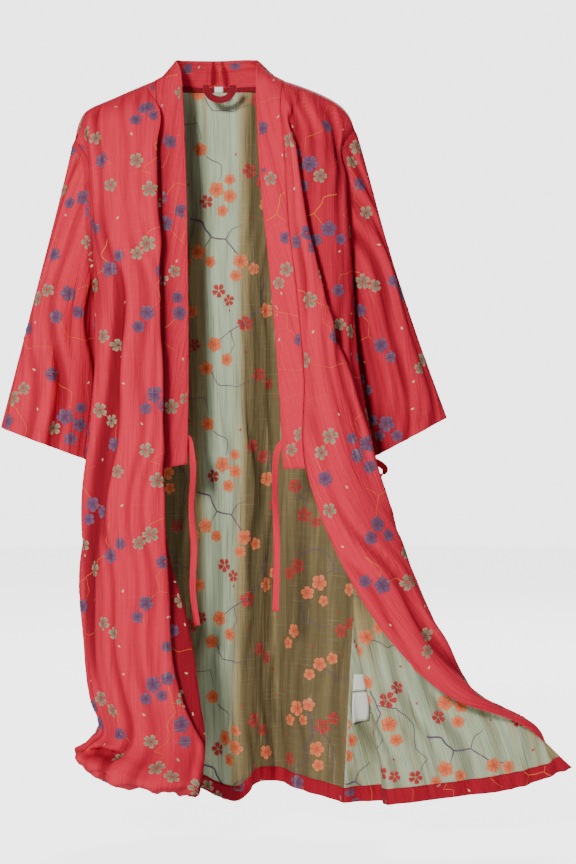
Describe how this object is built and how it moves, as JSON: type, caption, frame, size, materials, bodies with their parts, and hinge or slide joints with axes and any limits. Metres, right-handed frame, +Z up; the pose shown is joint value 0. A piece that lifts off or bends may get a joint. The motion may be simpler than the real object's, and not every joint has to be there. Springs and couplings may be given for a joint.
{
  "type": "yukata robe",
  "caption": "Long open robe of yukata cut in crinkled patterned cotton gauze, with a collar band, wide sleeves, ties and a swept-out hem, hanging filled out.",
  "frame": {"origin": "middle of the neck at the height of the shoulder points, where the wearer or a hanger holds the robe up", "axes": "+Z up towards the wearer's head, -Y out of the open front, +X to the wearer's left"},
  "size_m": [0.9402, 0.3044, 1.2401],
  "materials": {
    "coral_gauze": "crinkled cotton gauze, coral outside and sage inside",
    "maroon_tape": "woven cotton tape",
    "white_label": "smooth woven label, bare"
  },
  "bodies": {
    "root": {"back": "coral_gauze", "front_right": "coral_gauze", "front_left": "coral_gauze", "sleeve_right": "coral_gauze", "sleeve_left": "coral_gauze", "collar": "coral_gauze", "hem_back": "coral_gauze", "hem_right": "coral_gauze", "hem_left": "coral_gauze", "cuff_right": "coral_gauze", "cuff_left": "coral_gauze", "tie_right": "coral_gauze", "tie_left": "coral_gauze", "belt_loop": "coral_gauze", "neck_tape": "maroon_tape", "hanging_loop": "maroon_tape", "size_tag": "white_label", "care_label_upper": "white_label", "care_label_lower": "white_label"}
  },
  "joints": []
}
